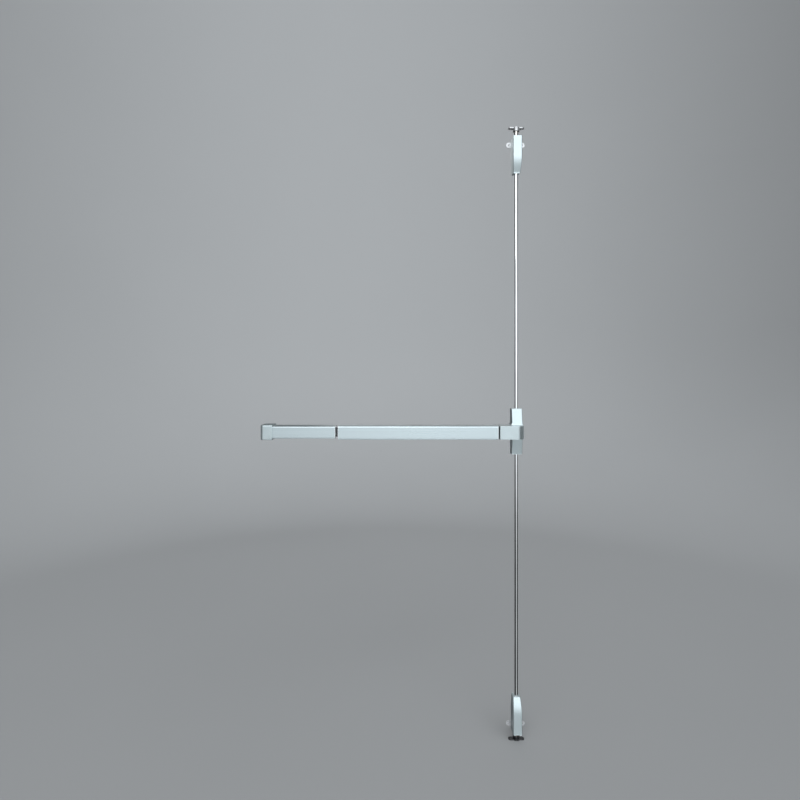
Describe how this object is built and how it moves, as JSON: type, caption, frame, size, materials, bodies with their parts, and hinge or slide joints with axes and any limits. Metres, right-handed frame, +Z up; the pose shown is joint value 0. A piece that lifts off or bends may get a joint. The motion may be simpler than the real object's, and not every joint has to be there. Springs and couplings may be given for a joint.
{
  "type": "panic exit bar",
  "caption": "Push-pad exit bar for a fire door: pressing the pad draws the upper and lower vertical rods and their bolts out of header and threshold strikes.",
  "frame": {"origin": "on the door face, at the centre of the chassis's four fixing holes, where the line of the vertical rods crosses the centre line of the bar", "axes": "+X along the bar towards the lock stile, +Y into the door through the mounting face, +Z up along the rods towards the header"},
  "size_m": [0.871, 0.075, 2.032],
  "materials": {
    "silver_extrusion": "satin silver-grey powder coat on extrusion, fine grain",
    "silver_casting": "satin silver-grey powder coat on castings, fine grain",
    "plain_aluminium": "mill finish extrusion",
    "polished_steel": "bright polished tube",
    "bolt_steel": "turned and hardened, semi-bright",
    "screw_steel": "zinc plated, bright",
    "spring_steel": "spring wire, oiled",
    "zinc_steel": "zinc-plated pressed steel",
    "grey_steel": "grey coated steel plate",
    "dark_steel": "blackened steel plate",
    "black_nylon": "moulded black nylon",
    "black_rubber": "moulded rubber"
  },
  "bodies": {
    "door_unit": {"mounting_rail": "plain_aluminium", "rail_cover": "silver_extrusion", "rail_cover_plug": "black_nylon", "end_cap": "silver_casting", "end_bracket": "zinc_steel", "rail_screws": "screw_steel", "pad_glides": "black_nylon", "pad_bumpers": "black_rubber", "left_crank_bracket": "zinc_steel", "right_crank_bracket": "zinc_steel", "bracket_rivets": "screw_steel", "crank_pivots": "bolt_steel", "spring_bracket": "zinc_steel", "return_spring": "spring_steel", "head_chassis": "zinc_steel", "head_case": "silver_casting", "cover_screws": "screw_steel", "lever_pivots": "bolt_steel", "lever_clips": "spring_steel", "slide_guides": "zinc_steel", "upper_rod_cover": "silver_casting", "lower_rod_cover": "silver_casting", "upper_slide_spring": "spring_steel", "lower_slide_spring": "spring_steel", "bolt_guides": "zinc_steel", "rod_bushes": "black_nylon", "latch_screws": "screw_steel", "top_latch_plate": "grey_steel", "bottom_latch_plate": "grey_steel", "top_latch_cover": "silver_casting", "bottom_latch_cover": "silver_casting", "top_bolt_spring": "spring_steel", "bottom_bolt_spring": "spring_steel", "top_strike": "grey_steel", "bottom_strike": "dark_steel"},
    "push_pad": {"push_pad": "silver_extrusion", "pad_end_plugs": "black_nylon", "left_pad_lug": "zinc_steel", "right_pad_lug": "zinc_steel"},
    "left_crank": {"left_crank": "zinc_steel", "left_crank_pins": "bolt_steel"},
    "right_crank": {"right_crank": "zinc_steel", "right_crank_pins": "bolt_steel"},
    "drive_link": {"drive_link": "zinc_steel", "link_yoke": "zinc_steel", "yoke_rivets": "screw_steel"},
    "upper_lever": {"upper_lever": "zinc_steel"},
    "lower_lever": {"lower_lever": "zinc_steel"},
    "upper_rod": {"upper_slide": "zinc_steel", "upper_rod": "polished_steel", "upper_rod_plugs": "zinc_steel", "upper_lock_nuts": "screw_steel", "top_bolt": "bolt_steel"},
    "lower_rod": {"lower_slide": "zinc_steel", "lower_rod": "polished_steel", "lower_rod_plugs": "zinc_steel", "lower_lock_nuts": "screw_steel", "bottom_bolt": "bolt_steel"}
  },
  "joints": [
    {"name": "pad_press", "type": "slide", "parent": "door_unit", "child": "push_pad", "axis": [0, 1, 0], "range_m": [0, 0.01242], "stiffness_N_per_m": 2800, "springref_m": -0.009, "deforming": ["return_spring", "upper_slide_spring", "lower_slide_spring", "top_bolt_spring", "bottom_bolt_spring"]},
    {"name": "left_crank_turn", "type": "hinge", "parent": "door_unit", "child": "left_crank", "pos_m": [-0.52, -0.0285, 0], "axis": [0, 0, 1], "range_deg": [0, 30.01]},
    {"name": "right_crank_turn", "type": "hinge", "parent": "door_unit", "child": "right_crank", "pos_m": [-0.13, -0.0285, 0], "axis": [0, 0, 1], "range_deg": [0, 30.01]},
    {"name": "link_draw", "type": "slide", "parent": "door_unit", "child": "drive_link", "axis": [-1, 0, 0], "range_m": [0, 0.00725]},
    {"name": "upper_lever_turn", "type": "hinge", "parent": "door_unit", "child": "upper_lever", "pos_m": [-0.02, 0, 0.013], "axis": [0, 1, 0], "range_deg": [0, 47.49]},
    {"name": "lower_lever_turn", "type": "hinge", "parent": "door_unit", "child": "lower_lever", "pos_m": [-0.02, 0, -0.013], "axis": [0, -1, 0], "range_deg": [0, 47.49]},
    {"name": "upper_rod_draw", "type": "slide", "parent": "door_unit", "child": "upper_rod", "axis": [0, 0, -1], "range_m": [0, 0.01611]},
    {"name": "lower_rod_draw", "type": "slide", "parent": "door_unit", "child": "lower_rod", "axis": [0, 0, 1], "range_m": [0, 0.01611]}
  ],
  "couplings": [
    {"joint": "left_crank_turn", "follows": "pad_press", "rad_per_m": 42.147},
    {"joint": "right_crank_turn", "follows": "pad_press", "rad_per_m": 42.147},
    {"joint": "link_draw", "follows": "pad_press", "ratio": 0.58333},
    {"joint": "upper_lever_turn", "follows": "pad_press", "rad_per_m": 66.707},
    {"joint": "lower_lever_turn", "follows": "pad_press", "rad_per_m": 66.707},
    {"joint": "upper_rod_draw", "follows": "pad_press", "ratio": 1.2963},
    {"joint": "lower_rod_draw", "follows": "pad_press", "ratio": 1.2963}
  ]
}
